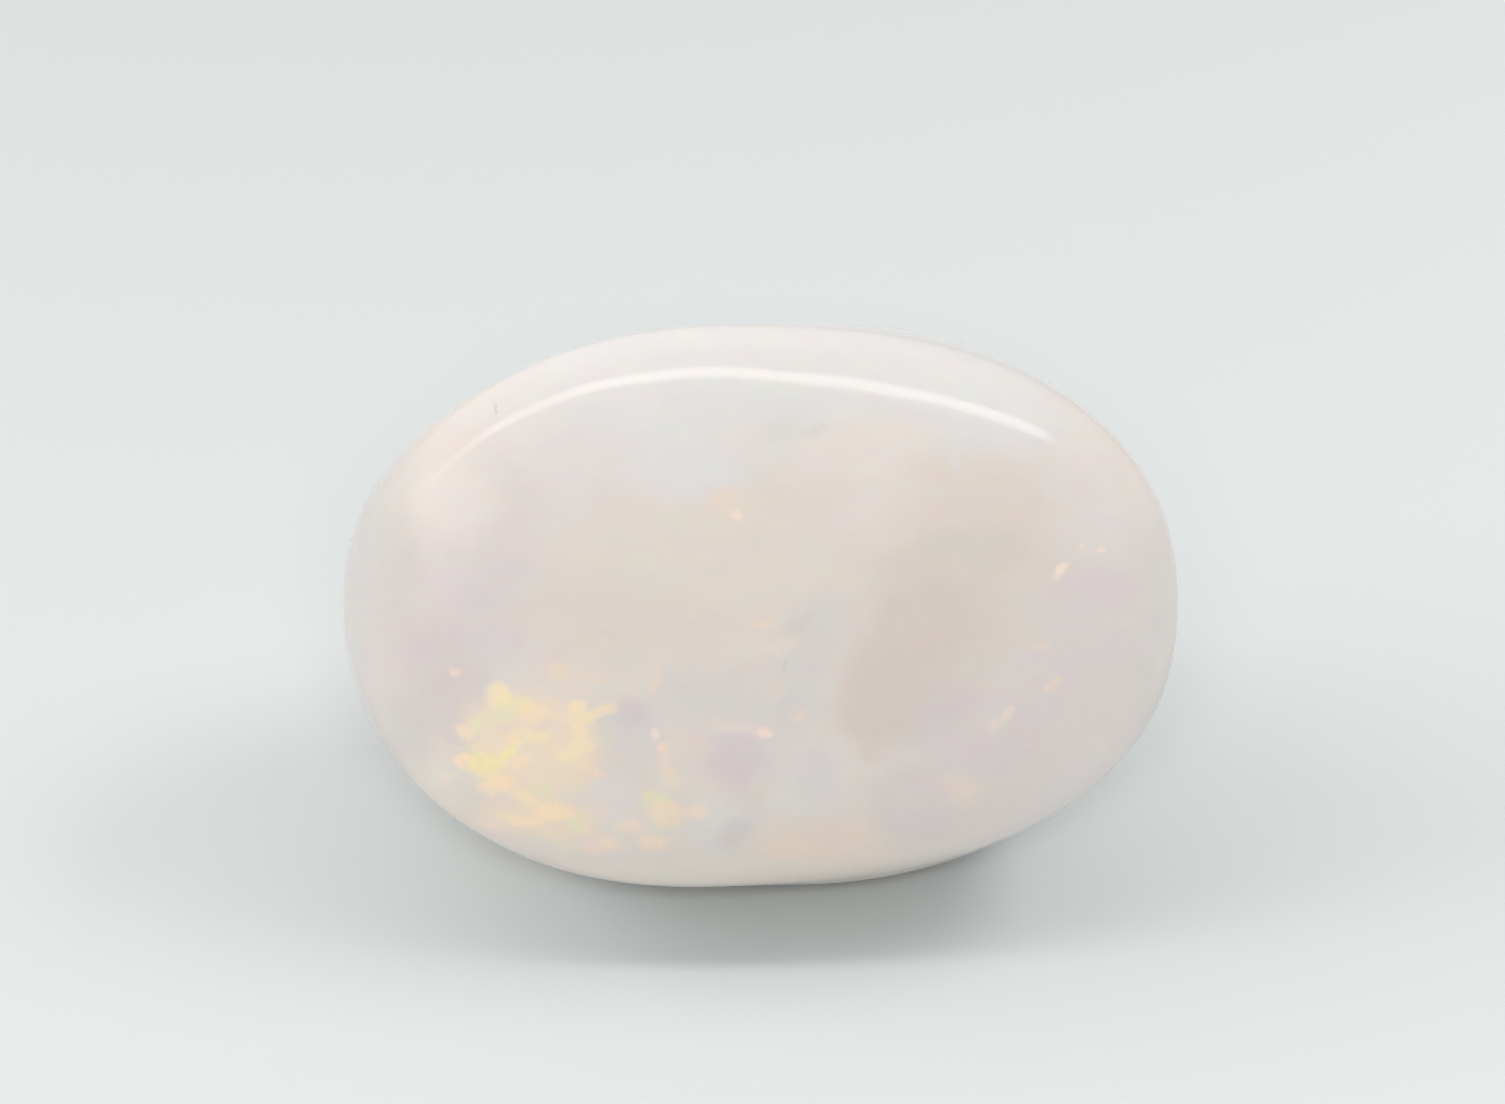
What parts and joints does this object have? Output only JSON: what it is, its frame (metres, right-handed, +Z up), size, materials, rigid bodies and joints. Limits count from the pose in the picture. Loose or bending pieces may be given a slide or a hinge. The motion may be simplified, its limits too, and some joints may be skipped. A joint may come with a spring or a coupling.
{
  "type": "polished opal stone",
  "caption": "Smooth white opal nugget with a gently domed face, a deep rounded back and soft gold, peach and lilac play of colour.",
  "frame": {"origin": "on the surface that the stone rests on, under the middle of the stone", "axes": "+Z up, X along the long side of the stone, and the face looks towards -Y and up"},
  "size_m": [0.0182, 0.0112, 0.0118],
  "materials": {
    "opal": "polished milky opal, pale lilac, cream and tan in soft zones, with flecks of gold, peach and pink"
  },
  "bodies": {
    "root": {"opal_stone": "opal"}
  },
  "joints": []
}
